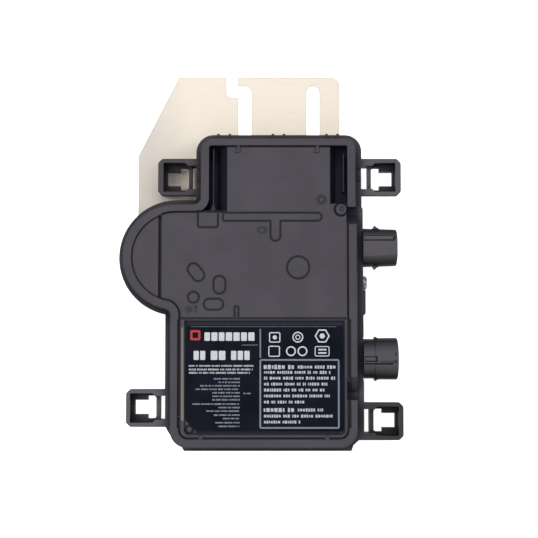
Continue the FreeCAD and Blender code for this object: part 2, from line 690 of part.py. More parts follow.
def screw_head_cone(x, y):
    """Countersunk head, flush with the plate's back face."""
    head_radius, shank_radius = PLATE_SCREW_HEAD_D / 2, PLATE_SCREW_D / 2
    return Part.makeCone(head_radius, shank_radius, PLATE_T - HEAD_TIP, Vector(x, y, 0), Z_AXIS)


def make_plate_screws():
    """Four countersunk screws with a six-lobed socket, from the back into the housing."""
    screws = []
    for x, y in PLATE_SCREWS:
        screw = screw_head_cone(x, y).fuse(post(x, y, PLATE_T - HEAD_TIP, BOARD_Z - 1.8, PLATE_SCREW_D))
        for angle in (0, 60, 120):
            lobe = lift(stadium(0, 0, 3.4, 1.2, angle), -OVER, 1.2)
            lobe.translate(Vector(x, y, 0))
            screw = screw.cut(lobe)
        screws.append(screw)
    return Part.makeCompound(screws)


# ---- label ------------------------------------------------------------------------------
def make_rating_label():
    """Thin label in the cover's recess."""
    x0, x1, y0, y1 = LABEL_BOX
    base = FACE_Z - LABEL_RECESS
    label = rounded_box(x0, x1, y0, y1, base, base + LABEL_T, LABEL_RADIUS)
    corner = prism([(x0, y0), (x0 + LABEL_CORNER, y0), (x0, y0 + LABEL_CORNER)], base - OVER, base + OVER)
    return label.cut(corner)


# ---- connectors -------------------------------------------------------------------------
def connector_body(y, root_radius, tip_radius, x_end):
    """Round shell body, slightly tapered, with a small chamfer at its mouth."""
    start = LOWER_RIGHT
    x_tip = x_end - MOUTH_CHAMFER
    end_radius = tip_radius - MOUTH_CHAMFER
    centre = Vector(x_tip, y, CONNECTOR_Z)
    body = Part.makeCone(root_radius, tip_radius, x_tip - start, Vector(start, y, CONNECTOR_Z), X_AXIS)
    return body.fuse(Part.makeCone(tip_radius, end_radius, MOUTH_CHAMFER, centre, X_AXIS))


def barb(y, direction, radius, x_steep, x_peak, x_foot):
    """Snap barb on the side of a shell: steep towards the case, sloped towards the tip."""
    base = radius - 1.5
    knee = ((2 * x_peak + x_foot) / 3, (radius + BARB_REACH) / 2)
    corners = [
        (x_steep, base), (x_steep, radius), (x_peak, BARB_REACH),
        knee, (x_foot, radius - 0.2), (x_foot, base),
    ]
    points = [Vector(x, y + direction * v, CONNECTOR_Z - BARB_W / 2) for x, v in corners]
    return Part.Face(Part.makePolygon(points + points[:1])).extrude(Vector(0, 0, BARB_W))


def hollow_shell(body, y, socket_d, x_end):
    """Bore the stepped socket and the carrier seat, and add the neck through the case wall."""
    body = body.fuse(rod(NECK_X, LOWER_RIGHT + OVER, y, CONNECTOR_Z, NECK_D))
    socket = rod(SOCKET_X, x_end, y, CONNECTOR_Z, socket_d)
    mouth = rod(MOUTH_X, x_end + OVER, y, CONNECTOR_Z, socket_d + MOUTH_STEP)
    seat = rod(NECK_X - OVER, SOCKET_X + OVER, y, CONNECTOR_Z, CARRIER_D)
    return body.cut(socket).cut(mouth).cut(seat)


def make_ac_connector_shell():
    """Output connector shell: flat-topped, with a key rib in a groove and two snap barbs."""
    top = CONNECTOR_Z + 20.0
    body = connector_body(AC_Y, AC_ROOT_R, AC_TIP_R, AC_END_X)
    body = body.cut(box(66.0, 95.0, AC_Y - 14.0, AC_Y + 14.0, CONNECTOR_Z + AC_FLAT, top))
    groove = box(LOWER_RIGHT + 0.4, 89.8, 12.0, 15.9, CONNECTOR_Z + 9.5, top)
    rib = box(LOWER_RIGHT, 88.7, 12.9, 15.3, CONNECTOR_Z + 8.0, CONNECTOR_Z + 10.8)
    body = body.cut(groove).fuse(rib)
    for direction in (1, -1):
        body = body.fuse(barb(AC_Y, direction, AC_TIP_R + 0.3, 75.4, 76.8, 80.2))
    return hollow_shell(body, AC_Y, AC_SOCKET_D, AC_END_X)


def make_dc_connector_shell():
    """Input connector shell: thin root, stepped up to a wider tip, with a key slot on the front."""
    top = CONNECTOR_Z + 16.0
    body = connector_body(DC_Y, DC_TIP_R - 0.3, DC_TIP_R, DC_END_X)
    root_step = rod(LOWER_RIGHT - OVER, DC_STEP_X, DC_Y, CONNECTOR_Z, 40.0)
    body = body.cut(root_step.cut(rod(60.0, 80.0, DC_Y, CONNECTOR_Z, 2 * DC_ROOT_R)))
    for direction in (1, -1):
        body = body.fuse(barb(DC_Y, direction, DC_TIP_R - 0.4, 76.0, 76.8, 79.4))
    slot = box(LOWER_RIGHT + 0.4, 77.5, DC_Y - 1.9, DC_Y + 1.9, CONNECTOR_Z + 11.7, top)
    tongue = box(LOWER_RIGHT, 76.6, DC_Y - 1.0, DC_Y + 1.2, CONNECTOR_Z + 11.0, CONNECTOR_Z + 12.8)
    line = box(LOWER_RIGHT + 0.4, 88.0, DC_Y - 3.6, DC_Y - 2.6, CONNECTOR_Z + 11.7, top)
    fine_line = box(79.2, 89.2, DC_Y - 2.0, DC_Y - 1.5, CONNECTOR_Z + 13.0, top)
    body = body.cut(slot).fuse(tongue).cut(line).cut(fine_line)
    for y0, y1 in ((2.4, 4.4), (-2.9, -0.6)):
        body = body.cut(box(89.1, 89.9, DC_Y + y0, DC_Y + y1, CONNECTOR_Z + 12.7, top))
    return hollow_shell(body, DC_Y, DC_SOCKET_D, DC_END_X)


def pin_places(count, spread):
    """Offsets of the contacts about a connector's axis."""
    places = []
    for step in range(count):
        angle = 2 * math.pi * step / count + math.pi / 2
        places.append((spread * math.cos(angle), spread * math.sin(angle)))
    return places


AC_PINS = pin_places(3, 2.7)
DC_PINS = pin_places(2, 2.7)


def contact_rod(x0, x1, y, offset, diameter):
    """One straight contact at its offset from the connector's axis."""
    return rod(x0, x1, y + offset[0], CONNECTOR_Z + offset[1], diameter)


def make_carrier(y, socket_d, pins):
    """Insulating carrier that fills the neck and the back of the socket."""
    flange = rod(SOCKET_X, SOCKET_X + 3.0, y, CONNECTOR_Z, socket_d)
    plug = rod(NECK_X, SOCKET_X + 7.8, y, CONNECTOR_Z, CARRIER_D)
    carrier = fused([flange, plug])
    for offset in pins:
        carrier = carrier.cut(contact_rod(50.0, 90.0, y, offset, PIN_D))
    return carrier


def make_pins(y, pins):
    """Contacts: a straight pin through the carrier and a tail down to the board."""
    contacts = []
    for number, offset in enumerate(pins):
        tail_x = 51.5 + 2.6 * number
        pin = contact_rod(tail_x, PIN_TIP_X, y, offset, PIN_D)
        tail = post(tail_x, y + offset[0], BOARD_TOP, CONNECTOR_Z + offset[1], PIN_D)
        elbow = Part.makeSphere(PIN_D / 2, Vector(tail_x, y + offset[0], CONNECTOR_Z + offset[1]))
        contacts.append(fused([pin, elbow, tail]))
    return Part.makeCompound(contacts)


def make_seal_ring(y):
    """Seal ring between a connector shell's shoulder and the case wall."""
    ring = rod(LOWER_RIGHT - 2.0, LOWER_RIGHT, y, CONNECTOR_Z, SEAL_RING_D)
    return ring.cut(rod(60.0, 75.0, y, CONNECTOR_Z, NECK_D))


# ---- status light -----------------------------------------------------------------------
def make_status_light_lens():
    """Clear lens with a light stem through the case wall."""
    dome = rod(LOWER_RIGHT, LOWER_RIGHT + LENS_H, STATUS_Y, STATUS_Z + 2.0, LENS_D)
    rim = [e for e in dome.Edges if e.BoundBox.XMin > LOWER_RIGHT + LENS_H - 0.1]
    dome = dome.makeFillet(LENS_ROUND, rim)
    stem = rod(58.6, LOWER_RIGHT + OVER, STATUS_Y, STATUS_Z, STEM_D)
    return fused([dome, stem])


def make_status_led():
    """Light source on the board edge, in line with the lens stem."""
    return box(54.6, 57.4, STATUS_Y - 1.6, STATUS_Y + 1.6, BOARD_TOP, STATUS_Z + 1.6)


# ---- board and what stands on it --------------------------------------------------------
def make_circuit_board():
    """Board that follows the case outline, with screw holes."""
    board = layer(BOARD_INSET, BOARD_Z, BOARD_TOP)
    for x, y in BOARD_SCREWS:
        board = board.cut(post(x, y, BOARD_Z - OVER, BOARD_TOP + OVER, BOARD_SCREW_D + 0.3))
    return board


def make_board_screws():
    """Pan-head screws that hold the board on its bosses."""
    screws = []
    for x, y in BOARD_SCREWS:
        head = post(x, y, BOARD_TOP, BOARD_TOP + 2.0, 5.6)
        shank = post(x, y, FLOOR_Z + 0.4, BOARD_TOP, BOARD_SCREW_D)
        drive = lift(stadium(0, 0, 3.6, 0.9, 0), BOARD_TOP + 0.9, BOARD_TOP + 3.0)
        drive = drive.fuse(lift(stadium(0, 0, 3.6, 0.9, 90), BOARD_TOP + 0.9, BOARD_TOP + 3.0))
        drive.translate(Vector(x, y, 0))
        screws.append(fused([head, shank]).cut(drive))
    return Part.makeCompound(screws)


TRANSFORMER_X, TRANSFORMER_Y = -52.0, 0.5
TRANSFORMER_H = 17.0
WINDOW_R = 17.0
CORE_POST_R = 8.0


def make_transformer_core():
    """Ferrite core with a round centre post and two side legs."""
    x, y = TRANSFORMER_X, TRANSFORMER_Y
    block = box(x - 24.0, x + 24.0, y - 15.0, y + 15.0, BOARD_TOP, BOARD_TOP + TRANSFORMER_H)
    window = post(x, y, BOARD_TOP + 3.0, BOARD_TOP + TRANSFORMER_H - 3.0, 2 * WINDOW_R)
    window = window.cut(post(x, y, BOARD_TOP, BOARD_TOP + TRANSFORMER_H, 2 * CORE_POST_R))
    return block.cut(window)


def make_transformer_winding():
    """Winding round the core's centre post."""
    x, y = TRANSFORMER_X, TRANSFORMER_Y
    ring = post(x, y, BOARD_TOP + 3.0, BOARD_TOP + TRANSFORMER_H - 3.0, 2 * WINDOW_R)
    return ring.cut(post(x, y, BOARD_TOP, BOARD_TOP + TRANSFORMER_H, 2 * CORE_POST_R))


def make_output_inductor():
    """Wound output inductor in a square can with a wider foot."""
    foot = box(4.0, 32.0, -32.0, -6.0, BOARD_TOP, BOARD_TOP + 2.0)
    can = rounded_box(5.0, 31.0, -31.0, -7.0, BOARD_TOP + 2.0, BOARD_TOP + 16.0, 3.0)
    return fused([foot, can])


def make_input_capacitors():
    """Four electrolytic cans that lie side by side on the board."""
    cans = []
    for number in range(4):
        x = -40.0 + 18.0 * number
        start = Vector(x, -106.0, BOARD_TOP + CAPACITOR_D / 2)
        can = Part.makeCylinder(CAPACITOR_D / 2, CAPACITOR_L, start, Y_AXIS)
        ring = Part.makeTorus(CAPACITOR_D / 2, 0.7, start + Vector(0, 3.0, 0), Y_AXIS)
        cans.append(can.cut(ring))
    return Part.makeCompound(cans)


def make_film_capacitors():
    """Two box capacitors across the output."""
    boxes = [rounded_box(0.0, 30.0, y, y + 11.0, BOARD_TOP, BOARD_TOP + 17.0, 1.0) for y in (0.5, 12.5)]
    return Part.makeCompound(boxes)


CHOKE_X, CHOKE_Y = 44.5, -32.0


def make_choke_core():
    """Ring core of the output filter choke."""
    ring = post(CHOKE_X, CHOKE_Y, BOARD_TOP + 2.0, BOARD_TOP + 9.0, 21.0)
    return ring.cut(post(CHOKE_X, CHOKE_Y, BOARD_TOP, BOARD_TOP + 12.0, 12.0))


def make_choke_windings():
    """Two wound halves round the choke's ring core."""
    halves = []
    for side in (-1, 1):
        ring = post(CHOKE_X, CHOKE_Y, BOARD_TOP + 0.6, BOARD_TOP + 10.4, 24.0)
        ring = ring.cut(post(CHOKE_X, CHOKE_Y, BOARD_TOP, BOARD_TOP + 12.0, 9.0))
        x0, x1 = sorted((CHOKE_X + side * 2.0, CHOKE_X + side * 14.0))
        keep = box(x0, x1, CHOKE_Y - 14.0, CHOKE_Y + 14.0, 0, 30.0)
        halves.append(ring.common(keep).cut(make_choke_core()))
    return Part.makeCompound(halves)


def make_power_transistors():
    """Two rows of flat power packages over the heat spreader."""
    packages = []
    for row in range(2):
        for number in range(5):
            x = -38.0 + 9.5 * number
            y = -60.0 + 14.0 * row
            body = box(x, x + 6.6, y, y + 6.2, BOARD_TOP, BOARD_TOP + 2.3)
            tab = box(x + 0.7, x + 5.9, y + 6.2, y + 8.0, BOARD_TOP, BOARD_TOP + 0.6)
            packages.append(fused([body, tab]))
    return Part.makeCompound(packages)


SPREADER = (-42.0, 12.0, -64.0, -34.0)


def make_heat_spreader():
    """Aluminium bar that carries transistor heat to the housing floor."""
    x0, x1, y0, y1 = SPREADER
    return rounded_box(x0, x1, y0, y1, FLOOR_Z, FLOOR_Z + 2.5, 2.0)


def make_thermal_pad():
    """Soft pad between heat spreader and board."""
    x0, x1, y0, y1 = SPREADER
    return rounded_box(x0, x1, y0, y1, FLOOR_Z + 2.5, BOARD_Z, 2.0)


def make_control_chips():
    """Controller, gate driver and communication chips."""
    sizes = ((-16.0, 44.0, 12.0), (4.0, 52.0, 7.0), (-14.0, 14.0, 9.0))
    return Part.makeCompound([box(x, x + s, y, y + s, BOARD_TOP, BOARD_TOP + 1.5) for x, y, s in sizes])


def make_surge_varistors():
    """Two disc varistors that stand beside the output connector."""
    discs = []
    for y in (-14.0, -6.0):
        start = Vector(43.0, y, BOARD_TOP + 7.0)
        discs.append(Part.makeCylinder(7.0, 4.5, start, Y_AXIS))
    return Part.makeCompound(discs)


def make_line_fuse():
    """Output fuse: a ceramic tube with two end caps, as one piece."""
    tube = rod(6.0, 22.0, 38.0, BOARD_TOP + 3.0, 5.2)
    caps = [rod(x, x + 4.0, 38.0, BOARD_TOP + 3.0, 6.0) for x in (4.0, 20.0)]
    return fused([tube] + caps)


def make_signal_transformer():
    """Small transformer that couples the data signal to the output line."""
    foot = box(24.0, 37.0, 46.0, 58.0, BOARD_TOP, BOARD_TOP + 1.5)
    block = rounded_box(25.0, 36.0, 47.0, 57.0, BOARD_TOP + 1.5, BOARD_TOP + 10.0, 1.5)
    return fused([foot, block])


def make_potting(inside):
    """Potting compound: fills the housing round everything that stands in it."""
    block = layer(CAVITY, FLOOR_Z, POTTING_Z)
    for shape in inside:
        block = block.cut(shape)
    return max(block.Solids, key=lambda solid: solid.Volume)


# ---- build and write --------------------------------------------------------------------
def make_nodes():
    """Every sub-part by its node name."""
    nodes = {
        "rear_housing": make_rear_housing(),
        "front_cover": make_front_cover(),
        "cover_seal": make_cover_seal(),
        "mounting_plate": make_mounting_plate(),
        "plate_screws": make_plate_screws(),
        "rating_label": make_rating_label(),
        "ac_connector_shell": make_ac_connector_shell(),
        "ac_contact_carrier": make_carrier(AC_Y, AC_SOCKET_D, AC_PINS),
        "ac_contact_pins": make_pins(AC_Y, AC_PINS),
        "ac_seal_ring": make_seal_ring(AC_Y),
        "dc_connector_shell": make_dc_connector_shell(),
        "dc_contact_carrier": make_carrier(DC_Y, DC_SOCKET_D, DC_PINS),
        "dc_contact_pins": make_pins(DC_Y, DC_PINS),
        "dc_seal_ring": make_seal_ring(DC_Y),
        "status_light_lens": make_status_light_lens(),
        "status_led": make_status_led(),
        "circuit_board": make_circuit_board(),
        "board_screws": make_board_screws(),
        "transformer_core": make_transformer_core(),
        "transformer_winding": make_transformer_winding(),
        "output_inductor": make_output_inductor(),
        "input_capacitors": make_input_capacitors(),
        "film_capacitors": make_film_capacitors(),
        "choke_core": make_choke_core(),
        "choke_windings": make_choke_windings(),
        "power_transistors": make_power_transistors(),
        "heat_spreader": make_heat_spreader(),
        "thermal_pad": make_thermal_pad(),
        "control_chips": make_control_chips(),
        "surge_varistors": make_surge_varistors(),
        "line_fuse": make_line_fuse(),
        "signal_transformer": make_signal_transformer(),
    }
    outside = ("mounting_plate", "plate_screws", "rating_label", "cover_seal")
    inside = [shape for name, shape in nodes.items() if name not in outside]
    nodes["potting_compound"] = make_potting(inside)
    return nodes


def main():
    """Write one STEP file per node."""
    os.makedirs("parts", exist_ok=True)
    for name, shape in make_nodes().items():
        shape.exportStep(os.path.join("parts", name + ".step"))
        print(f"{name:22s} solids {len(shape.Solids)} valid {shape.isValid()} {shape.Volume:10.0f}")


main()
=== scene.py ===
"""Looks of the micro inverter: materials, label print, small moulded marks, light and camera.

Everything is in metres in the part's own frame: +Z is the side with the label, +Y the slotted
end of the mounting plate, and +X the two cable sockets.
"""
import json
import math
import random

import bmesh
import bpy
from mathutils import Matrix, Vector


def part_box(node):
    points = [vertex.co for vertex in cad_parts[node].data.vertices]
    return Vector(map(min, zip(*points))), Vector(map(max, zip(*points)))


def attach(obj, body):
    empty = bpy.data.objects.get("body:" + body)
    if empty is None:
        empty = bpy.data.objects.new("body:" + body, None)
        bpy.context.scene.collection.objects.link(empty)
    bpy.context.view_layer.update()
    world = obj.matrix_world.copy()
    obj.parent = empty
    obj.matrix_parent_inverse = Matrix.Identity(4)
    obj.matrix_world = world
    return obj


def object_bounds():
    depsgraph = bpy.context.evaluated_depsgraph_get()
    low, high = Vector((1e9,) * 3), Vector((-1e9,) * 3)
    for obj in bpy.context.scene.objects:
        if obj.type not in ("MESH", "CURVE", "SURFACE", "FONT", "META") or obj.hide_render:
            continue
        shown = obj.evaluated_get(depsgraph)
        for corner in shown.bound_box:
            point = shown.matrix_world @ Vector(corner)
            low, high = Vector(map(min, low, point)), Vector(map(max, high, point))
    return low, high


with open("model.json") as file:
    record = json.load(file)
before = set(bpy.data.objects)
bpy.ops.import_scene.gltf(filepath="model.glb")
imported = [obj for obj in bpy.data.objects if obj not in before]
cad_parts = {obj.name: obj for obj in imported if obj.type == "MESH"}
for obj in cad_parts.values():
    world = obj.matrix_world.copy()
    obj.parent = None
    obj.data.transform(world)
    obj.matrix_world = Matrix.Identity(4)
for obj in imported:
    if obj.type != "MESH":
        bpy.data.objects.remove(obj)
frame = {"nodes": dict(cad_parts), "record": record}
CAD_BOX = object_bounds()
NODES = frame["nodes"]
MM = 0.001

# ---- places read from the frame ---------------------------------------------------------
RIM_HEIGHT = 0.8 * MM
FACE_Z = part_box("front_cover")[1].z - RIM_HEIGHT
PRINT_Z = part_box("rating_label")[1].z
PRINT_T = 0.05 * MM
MARK_SINK = 0.1 * MM
MARK_T = 0.4 * MM

# ---- camera and light -------------------------------------------------------------------
AIM = Vector((5.5, -7.33, 32.2)) * MM
CAMERA_DISTANCE = 0.75
CAMERA_TILT = math.radians(3.33)
CAMERA_LENS = 75.8
SENSOR_WIDTH = 36.0
WORLD_STRENGTH = 0.22
FLOOR_SIZE = 6.0
FLOOR_GAP = 0.2 * MM
FLOOR_GLOW = 0.85
LAMP_SIZE = 0.8
LAMPS = (
    ("left_lamp", (-0.78, 0.1, 1.4), 9.1),
    ("right_lamp", (0.78, 0.1, 1.4), 3.8),
    ("upper_lamp", (0, 0.95, 1.35), 7.4),
    ("lower_lamp", (0, -0.8, 1.35), 2.4),
)

# ---- colours ----------------------------------------------------------------------------
HOUSING = (0.087, 0.083, 0.095)
COVER = (0.078, 0.073, 0.086)
CONNECTOR = (0.097, 0.092, 0.104)
# near-black painted shade for the cover's channels, rim dip and label surrounds
PAINTED_DEEP_SHADE = (0.019, 0.021, 0.034)
PLATE = (1.0, 0.90, 0.78)
PLATE_LOWER_LEFT = (0.73, 0.665, 0.60)
FILM = (0.0062, 0.0080, 0.0155)
LENS_DARK = (0.20, 0.205, 0.21)
# painted glint colour on the light pipe's facets
LENS_GLINT = (0.62, 0.64, 0.66)
SOLDER_MASK = (0.012, 0.10, 0.035)
# painted shade between the coil's turns
WIRE_GAP_SHADE = (0.16, 0.045, 0.015)
WIRE_LIGHT = (0.60, 0.24, 0.09)

# Painted light and shade on the lugs: each lug's place in plan, how far its painted tone
# reaches, in millimetres, and the tone's strength.
LUG_LIGHT_AND_SHADE = (
    (81.5, 55.0, 20.0, 1.3),
    (-60.0, 55.0, 18.0, 0.85),
    (-78.0, -99.5, 20.0, 1.45),
    (83.0, -108.0, 20.0, 0.6),
)

# Plan boxes where near-black shade is painted low down on the cover, as x from, x to, y from
# and y to in millimetres: two channels, the upper rim dip, and the label's upper, right and
# lower surrounds.
PAINTED_SHADE_AREAS = (
    (-36.0, -22.2, 31.0, 76.0),
    (46.0, 58.7, 31.0, 76.0),
    (57.0, 66.0, 22.0, 34.2),
    (-50.5, 54.9, -45.6, -40.9),
    (54.0, 60.5, -119.5, -42.3),
    (-50.0, 54.0, -119.5, -113.0),
)


# ---- node helpers -----------------------------------------------------------------------
class Tree:
    """A material's node tree, with one short method per kind of node it uses."""

    def __init__(self, name):
        self.material = bpy.data.materials.new(name)
        self.material.use_nodes = True
        self.nodes = self.material.node_tree.nodes
        self.links = self.material.node_tree.links
        self.shader = self.nodes["Principled BSDF"]
        self.place = self.nodes.new("ShaderNodeTexCoord").outputs["Object"]

    def link(self, source, target):
        """Join an output to an input."""
        self.links.new(source, target)

    def put(self, target, value):
        """Link a socket, or set a plain number or colour."""
        if isinstance(value, bpy.types.NodeSocket):
            self.links.new(value, target)
        elif isinstance(value, tuple) and len(value) == 3 and target.type == "RGBA":
            target.default_value = (*value, 1.0)
        else:
            target.default_value = value

    def plan(self):
        """The three object coordinates on their own."""
        parts = self.nodes.new("ShaderNodeSeparateXYZ")
        self.link(self.place, parts.inputs["Vector"])
        return parts.outputs

    def stretched(self, x, y, z):
        """Object coordinates scaled along each axis."""
        node = self.nodes.new("ShaderNodeMapping")
        node.inputs["Scale"].default_value = (x, y, z)
        self.link(self.place, node.inputs["Vector"])
        return node.outputs["Vector"]

    def noise(self, size_mm, detail=3.0, vector=None, roughness=0.5):
        """Noise with blobs of about the given size."""
        node = self.nodes.new("ShaderNodeTexNoise")
        node.inputs["Scale"].default_value = 1.0 / (size_mm * MM)
        node.inputs["Detail"].default_value = detail
        node.inputs["Roughness"].default_value = roughness
        self.link(vector or self.place, node.inputs["Vector"])
        return node.outputs["Fac"]

    def math(self, operation, first, second=0.0):
        """Two values put together by one operation."""
        node = self.nodes.new("ShaderNodeMath")
        node.operation = operation
        self.put(node.inputs[0], first)
        self.put(node.inputs[1], second)
        return node.outputs["Value"]

    def span(self, value, low, high, to_low=0.0, to_high=1.0):
        """Value rescaled from one range to another, and held at the ends."""
        node = self.nodes.new("ShaderNodeMapRange")
        self.put(node.inputs["Value"], value)
        limits = {"From Min": low, "From Max": high, "To Min": to_low, "To Max": to_high}
        for name, number in limits.items():
            node.inputs[name].default_value = number
        return node.outputs["Result"]

    def mix(self, factor, first, second):
        """The first colour at factor 0 and the second at factor 1."""
        node = self.nodes.new("ShaderNodeMix")
        node.data_type = "RGBA"
        self.put(node.inputs["Factor"], factor)
        self.put(node.inputs[6], first)
        self.put(node.inputs[7], second)
        return node.outputs[2]

    def edges(self, radius_mm):
        """1 along edges within the given radius, 0 on flat ground."""
        bevel = self.nodes.new("ShaderNodeBevel")
        bevel.samples = 4
        bevel.inputs["Radius"].default_value = radius_mm * MM
        flat = self.nodes.new("ShaderNodeNewGeometry")
        dot = self.nodes.new("ShaderNodeVectorMath")
        dot.operation = "DOT_PRODUCT"
        self.link(bevel.outputs["Normal"], dot.inputs[0])
        self.link(flat.outputs["Normal"], dot.inputs[1])
        return self.span(dot.outputs["Value"], 0.99, 0.75)

    def crevices(self, distance_mm, clear, deep):
        """1 deep in corners and grooves, 0 in the open."""
        node = self.nodes.new("ShaderNodeAmbientOcclusion")
        node.samples = 8
        node.inputs["Distance"].default_value = distance_mm * MM
        return self.span(node.outputs["AO"], clear, deep)

    def near(self, x_mm, y_mm, reach_mm):
        """1 at a place in plan, fading to 0 at the given distance from it."""
        flat = self.nodes.new("ShaderNodeVectorMath")
        flat.operation = "MULTIPLY"
        flat.inputs[1].default_value = (1.0, 1.0, 0.0)
        self.link(self.place, flat.inputs[0])
        gap = self.nodes.new("ShaderNodeVectorMath")
        gap.operation = "DISTANCE"
        gap.inputs[1].default_value = (x_mm * MM, y_mm * MM, 0.0)
        self.link(flat.outputs["Vector"], gap.inputs[0])
        return self.span(gap.outputs["Value"], reach_mm * MM, 0.7 * reach_mm * MM)

    def steepness(self, low, high):
        """0 on level ground that faces the label side and 1 on steep walls."""
        parts = self.nodes.new("ShaderNodeSeparateXYZ")
        self.link(self.nodes.new("ShaderNodeNewGeometry").outputs["Normal"], parts.inputs["Vector"])
        return self.span(parts.outputs["Z"], low, high)

    def bump(self, height, depth_mm, strength):
        """Raise the surface's shading by the given height."""
        node = self.nodes.new("ShaderNodeBump")
        node.inputs["Strength"].default_value = strength
        node.inputs["Distance"].default_value = depth_mm * MM
        self.link(height, node.inputs["Height"])
        self.link(node.outputs["Normal"], self.shader.inputs["Normal"])

    def finish(self, **values):
        """Set the shader's sockets by name and give back the material."""
        for name, value in values.items():
            self.put(self.shader.inputs[name.replace("_", " ")], value)
        return self.material


def shade(colour, factor):
    """A colour made darker or lighter."""
    return tuple(channel * factor for channel in colour)


# ---- materials --------------------------------------------------------------------------
def moulded(name, colour, roughness, grain_mm=0.5, wall_shade=0.3, reach_mm=12.0, gloss=0.1,
            patches=(), deep_shade=None):
    """Moulded plastic: fine texture, soft blotches, painted shade on steep walls and in deep corners.

    Patches are places of another tone. A deep-shade mask paints near-black shade low down,
    with painted dark shade along all edges.
    """
    tree = Tree(name)
    grain = tree.noise(grain_mm, 2.0)
    blotch = tree.noise(22.0, 4.0)
    scuff = tree.noise(5.0, 5.0, roughness=0.7)
    body = tree.mix(tree.span(blotch, 0.35, 0.65), shade(colour, 0.92), shade(colour, 1.08))
    body = tree.mix(tree.span(grain, 0.3, 0.7, 0.0, 0.35), body, shade(colour, 1.25))
    # patches of another tone; on the housing they are painted light and shade on the lugs
    for x, y, reach, gain in patches:
        body = tree.mix(tree.near(x, y, reach), body, shade(colour, gain))
    # painted shade: steep walls get a darker colour than level faces
    body = tree.mix(tree.steepness(0.97, 0.5), body, shade(colour, wall_shade))
    # painted shade in corners and grooves, where an occlusion mask finds them
    painted_crevice_shade = tree.math("MULTIPLY", tree.crevices(reach_mm, 0.92, 0.5), 0.88)
    body = tree.mix(painted_crevice_shade, body, shade(colour, 0.12))
    # painted shade: dark outlines along all of the cover's edges
    if deep_shade:
        body = tree.mix(tree.math("MULTIPLY", tree.edges(1.1), 0.75), body, shade(colour, 0.3))
    worn = tree.math("MULTIPLY", tree.edges(0.35), tree.span(scuff, 0.35, 0.65, 0.06, 0.3))
    body = tree.mix(worn, body, shade(colour, 1.9))
    # painted shade: near-black colour low down in the channels, the rim dip and round the label
    if deep_shade:
        body = tree.mix(deep_shade(tree), body, PAINTED_DEEP_SHADE)
    rough = tree.span(tree.math("ADD", scuff, grain), 0.7, 1.3, roughness - 0.06, roughness + 0.08)
    tree.bump(tree.math("ADD", grain, tree.math("MULTIPLY", scuff, 0.6)), 0.03, 0.5)
    return tree.finish(Base_Color=body, Roughness=rough, Specular_IOR_Level=gloss)


def deep_shade_mask(tree):
    """1 low down in the cover's dark places, where near-black shade is painted, and 0 elsewhere."""
    x, y, z = tree.plan()
    inside = 0.0
    for x0, x1, y0, y1 in PAINTED_SHADE_AREAS:
        across = tree.math("ABSOLUTE", tree.math("SUBTRACT", x, (x0 + x1) / 2 * MM))
        along = tree.math("ABSOLUTE", tree.math("SUBTRACT", y, (y0 + y1) / 2 * MM))
        near_x = tree.math("LESS_THAN", across, (x1 - x0) / 2 * MM)
        near_y = tree.math("LESS_THAN", along, (y1 - y0) / 2 * MM)
        inside = tree.math("MAXIMUM", tree.math("MULTIPLY", near_x, near_y), inside)
    deep = tree.span(z, FACE_Z + 0.3 * MM, FACE_Z - 2.6 * MM)
    return tree.math("MULTIPLY", deep, inside)


def brushed_metal(name, colour, roughness, metallic=0.75, lower_left=None):
    """Brushed sheet: streaks along X, soft cloudy tone, darker cut edges."""
    tree = Tree(name)
    streak = tree.noise(0.35, 4.0, tree.stretched(0.02, 1.0, 1.0), 0.65)
    cloud = tree.noise(30.0, 4.0)
    speck = tree.noise(1.6, 3.0, roughness=0.7)
    body = tree.mix(tree.span(streak, 0.3, 0.7), shade(colour, 0.92), shade(colour, 1.02))
    body = tree.mix(tree.span(cloud, 0.4, 0.7, 0.0, 0.5), body, shade(colour, 0.93))
    body = tree.mix(tree.span(speck, 0.62, 0.78, 0.0, 0.2), body, shade(colour, 0.75))
    # darker towards the plate's lower left
    if lower_left:
        body = tree.mix(lower_left(tree), body, PLATE_LOWER_LEFT)
    body = tree.mix(tree.math("MULTIPLY", tree.edges(1.7), 0.8), body, shade(colour, 0.5))
    rough = tree.span(streak, 0.3, 0.7, roughness - 0.07, roughness + 0.09)
    tree.bump(streak, 0.02, 0.35)
    return tree.finish(Base_Color=body, Roughness=rough, Metallic=metallic)


def lower_left_fade(tree):
    """1 on the plate's lower left and 0 at its upper right, with a ragged border."""
    x, y, _ = tree.plan()
    ragged = tree.math("MULTIPLY", tree.noise(16.0, 4.0), 14.0 * MM)
    slanted = tree.math("ADD", x, tree.math("MULTIPLY", y, 0.35))
    return tree.span(tree.math("ADD", slanted, ragged), -4.0 * MM, -42.0 * MM)


def label_film(name):
    """Dark printed film with a faint waviness and small scuffs."""
    tree = Tree(name)
    cloud = tree.noise(18.0, 3.0)
    scuff = tree.noise(2.2, 6.0, tree.stretched(0.4, 1.0, 1.0), 0.75)
    wave = tree.noise(14.0, 1.0)
    body = tree.mix(tree.span(cloud, 0.35, 0.65), shade(FILM, 0.75), shade(FILM, 1.35))
    body = tree.mix(tree.span(scuff, 0.62, 0.8, 0.0, 0.3), body, shade(FILM, 2.6))
    rough = tree.span(scuff, 0.4, 0.7, 0.36, 0.52)
    tree.bump(wave, 0.12, 0.3)
    return tree.finish(Base_Color=body, Roughness=rough, Specular_IOR_Level=0.05)


def ink(name, colour):
    """Screen-printed ink: a little patchy, a little rough."""
    tree = Tree(name)
    patch = tree.noise(0.9, 4.0, roughness=0.7)
    body = tree.mix(tree.span(patch, 0.35, 0.65), shade(colour, 0.62), colour)
    tree.bump(patch, 0.01, 0.3)
    return tree.finish(Base_Color=body, Roughness=tree.span(patch, 0.3, 0.7, 0.35, 0.6))


